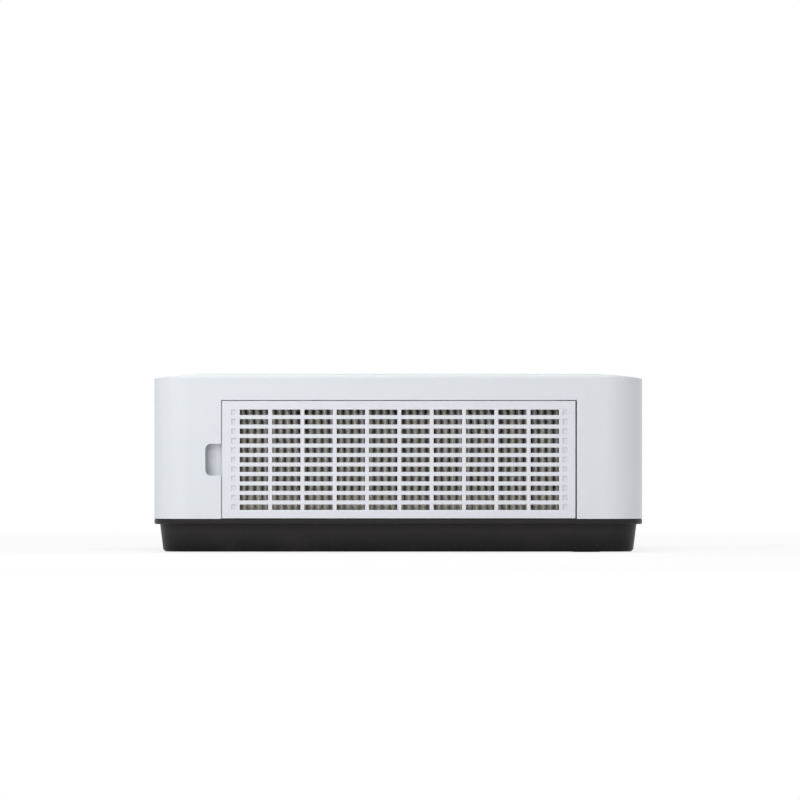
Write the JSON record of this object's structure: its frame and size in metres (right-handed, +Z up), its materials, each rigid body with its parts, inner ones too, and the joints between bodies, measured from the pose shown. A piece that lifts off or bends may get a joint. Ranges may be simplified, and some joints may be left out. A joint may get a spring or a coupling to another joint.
{
  "type": "projector with built-in disc player",
  "caption": "Low box video projector with a side filter door, lens with shutter and rings, rear jack panel and a sliding disc tray.",
  "frame": {"origin": "middle of the footprint, on the table", "axes": "+Z up, -Y out of the lens, +X towards the filter door, -X towards the disc tray"},
  "size_m": [0.37, 0.337, 0.1233],
  "materials": {
    "case_white": "fine satin moulded plastic, very light cool grey",
    "cover_white": "fine satin moulded plastic, very light lavender grey",
    "case_black": "fine textured black plastic",
    "frame_grey": "dark grey plastic",
    "filter_sheet": "pleated non-woven sheet, khaki grey",
    "trim_black": "glossy black plastic",
    "shutter_grey": "matte dark grey plastic",
    "barrel_black": "black anodised metal",
    "ring_black": "ribbed black grip",
    "lens_glass": "coated optical glass",
    "grille_grey": "matte dark grey plastic",
    "driver_black": "black cone and steel basket",
    "ir_red": "dark red infrared filter",
    "panel_black": "matte black plastic",
    "socket_metal": "nickel plated steel",
    "vga_blue": "blue plastic with steel posts",
    "jack_rings": "moulded plastic with plated rings",
    "inlet_black": "black plastic with plated blades",
    "rocker_black": "glossy black plastic",
    "plate_grey": "matte dark grey plastic",
    "indicator": "translucent green lens",
    "key_grey": "satin light grey plastic",
    "key_white": "satin white plastic",
    "board_green": "solder mask on glass board, with parts",
    "housing_metal": "plain sheet metal",
    "lamp_glass": "coated reflector",
    "engine_grey": "filled black resin",
    "prism_glass": "optical glass",
    "fan_black": "black plastic",
    "rotor_black": "black plastic",
    "chassis_metal": "plated steel",
    "tray_black": "matte black plastic",
    "clamper_white": "white acetal",
    "turntable_black": "black platter with a rubber ring",
    "sled_dark": "cast sled with a lens",
    "gear_ivory": "ivory acetal",
    "foot_rubber": "black rubber on a plastic stem",
    "trim_satin": "satin black plastic",
    "screw_steel": "zinc plated steel"
  },
  "bodies": {
    "root": {"upper_case": "case_white", "lower_case": "case_black", "filter_frame": "frame_grey", "filter_media": "filter_sheet", "lens_bezel": "trim_black", "lens_barrel": "barrel_black", "front_lens": "lens_glass", "exhaust_grille": "grille_grey", "speaker_grille": "grille_grey", "speaker_driver": "driver_black", "ir_windows": "ir_red", "jack_panel": "panel_black", "hdmi_sockets": "socket_metal", "vga_socket": "vga_blue", "lan_socket": "socket_metal", "usb_socket": "socket_metal", "av_jacks": "jack_rings", "ac_inlet": "inlet_black", "control_plate": "plate_grey", "indicator_lenses": "indicator", "main_board": "board_green", "power_supply": "board_green", "lamp_housing": "housing_metal", "lamp_unit": "lamp_glass", "light_engine": "engine_grey", "prism_block": "prism_glass", "intake_fan_frame": "fan_black", "exhaust_fan_frame": "fan_black", "drive_chassis": "chassis_metal", "clamp_bridge": "chassis_metal", "spindle_motor": "chassis_metal", "case_screws": "screw_steel"},
    "tray": {"disc_tray": "tray_black", "tray_front": "case_white"},
    "filter_cover": {"filter_cover": "cover_white"},
    "lens_shutter": {"lens_shutter": "shutter_grey"},
    "zoom_ring": {"zoom_ring": "ring_black"},
    "focus_ring": {"focus_ring": "ring_black"},
    "power_switch": {"power_switch": "rocker_black"},
    "eject_button": {"eject_button": "key_white"},
    "intake_fan": {"intake_fan": "rotor_black"},
    "exhaust_fan": {"exhaust_fan": "rotor_black"},
    "clamper": {"clamper": "clamper_white"},
    "turntable": {"turntable": "turntable_black"},
    "pickup_sled": {"pickup_sled": "sled_dark"},
    "loading_gear": {"loading_gear": "gear_ivory"},
    "front_foot": {"front_foot": "foot_rubber"},
    "foot_button": {"foot_button": "trim_satin"},
    "rear_foot_left": {"rear_foot_left": "foot_rubber"},
    "rear_foot_right": {"rear_foot_right": "foot_rubber"},
    "power_button": {"power_button": "key_grey"},
    "source_button": {"source_button": "key_grey"},
    "menu_button": {"menu_button": "key_grey"},
    "up_button": {"up_button": "key_grey"},
    "down_button": {"down_button": "key_grey"},
    "left_button": {"left_button": "key_grey"},
    "right_button": {"right_button": "key_grey"},
    "enter_button": {"enter_button": "key_grey"},
    "play_button": {"play_button": "key_grey"},
    "stop_button": {"stop_button": "key_grey"}
  },
  "joints": [
    {"name": "filter_door_swing", "type": "hinge", "parent": "root", "child": "filter_cover", "pos_m": [0.18, 0.1146, 0.064], "axis": [0, 0, 1], "range_deg": [0, 95]},
    {"name": "shutter_slide", "type": "slide", "parent": "root", "child": "lens_shutter", "axis": [1, 0, 0], "range_m": [-0.075, 0]},
    {"name": "zoom_turn", "type": "hinge", "parent": "root", "child": "zoom_ring", "pos_m": [0.045, -0.123, 0.066], "axis": [0, 1, 0], "range_deg": [-25, 25]},
    {"name": "focus_turn", "type": "hinge", "parent": "root", "child": "focus_ring", "pos_m": [0.045, -0.138, 0.066], "axis": [0, 1, 0], "range_deg": [-25, 25]},
    {"name": "power_rock", "type": "hinge", "parent": "root", "child": "power_switch", "pos_m": [0.14, 0.1625, 0.048], "axis": [-1, 0, 0], "range_deg": [0, 15]},
    {"name": "eject_press", "type": "slide", "parent": "root", "child": "eject_button", "axis": [1, 0, 0], "range_m": [0, 0.0008], "stiffness_N_per_m": 300},
    {"name": "intake_spin", "type": "hinge", "parent": "root", "child": "intake_fan", "pos_m": [0.149, -0.02, 0.0663], "axis": [1, 0, 0], "continuous": true},
    {"name": "exhaust_spin", "type": "hinge", "parent": "root", "child": "exhaust_fan", "pos_m": [-0.11, -0.15, 0.0663], "axis": [0, 1, 0], "continuous": true},
    {"name": "tray_slide", "type": "slide", "parent": "root", "child": "tray", "axis": [-1, 0, 0], "range_m": [0, 0.13]},
    {"name": "loading_turn", "type": "hinge", "parent": "root", "child": "loading_gear", "pos_m": [-0.164, 0.00525, 0.043], "axis": [0, 0, 1], "range_deg": [-750, 0]},
    {"name": "turntable_spin", "type": "hinge", "parent": "root", "child": "turntable", "pos_m": [-0.1145, 0.05, 0.043], "axis": [0, 0, 1], "continuous": true},
    {"name": "clamper_spin", "type": "hinge", "parent": "root", "child": "clamper", "pos_m": [-0.1145, 0.05, 0.058], "axis": [0, 0, 1], "continuous": true},
    {"name": "sled_slide", "type": "slide", "parent": "root", "child": "pickup_sled", "axis": [1, 0, 0], "range_m": [0, 0.036]},
    {"name": "front_foot_slide", "type": "slide", "parent": "root", "child": "front_foot", "axis": [0, 0, 1], "range_m": [-0.025, 0]},
    {"name": "foot_key_press", "type": "slide", "parent": "root", "child": "foot_button", "axis": [0, 1, 0], "range_m": [0, 0.003], "stiffness_N_per_m": 300},
    {"name": "rear_foot_left_slide", "type": "slide", "parent": "root", "child": "rear_foot_left", "axis": [0, 0, 1], "range_m": [-0.006, 0]},
    {"name": "rear_foot_right_slide", "type": "slide", "parent": "root", "child": "rear_foot_right", "axis": [0, 0, 1], "range_m": [-0.006, 0]},
    {"name": "power_press", "type": "slide", "parent": "root", "child": "power_button", "axis": [0, 0, -1], "range_m": [0, 0.0008], "stiffness_N_per_m": 300},
    {"name": "source_press", "type": "slide", "parent": "root", "child": "source_button", "axis": [0, 0, -1], "range_m": [0, 0.0008], "stiffness_N_per_m": 300},
    {"name": "menu_press", "type": "slide", "parent": "root", "child": "menu_button", "axis": [0, 0, -1], "range_m": [0, 0.0008], "stiffness_N_per_m": 300},
    {"name": "up_press", "type": "slide", "parent": "root", "child": "up_button", "axis": [0, 0, -1], "range_m": [0, 0.0008], "stiffness_N_per_m": 300},
    {"name": "down_press", "type": "slide", "parent": "root", "child": "down_button", "axis": [0, 0, -1], "range_m": [0, 0.0008], "stiffness_N_per_m": 300},
    {"name": "left_press", "type": "slide", "parent": "root", "child": "left_button", "axis": [0, 0, -1], "range_m": [0, 0.0008], "stiffness_N_per_m": 300},
    {"name": "right_press", "type": "slide", "parent": "root", "child": "right_button", "axis": [0, 0, -1], "range_m": [0, 0.0008], "stiffness_N_per_m": 300},
    {"name": "enter_press", "type": "slide", "parent": "root", "child": "enter_button", "axis": [0, 0, -1], "range_m": [0, 0.0008], "stiffness_N_per_m": 300},
    {"name": "play_press", "type": "slide", "parent": "root", "child": "play_button", "axis": [0, 0, -1], "range_m": [0, 0.0008], "stiffness_N_per_m": 300},
    {"name": "stop_press", "type": "slide", "parent": "root", "child": "stop_button", "axis": [0, 0, -1], "range_m": [0, 0.0008], "stiffness_N_per_m": 300}
  ],
  "couplings": [
    {"joint": "loading_turn", "follows": "tray_slide", "rad_per_m": -100}
  ]
}
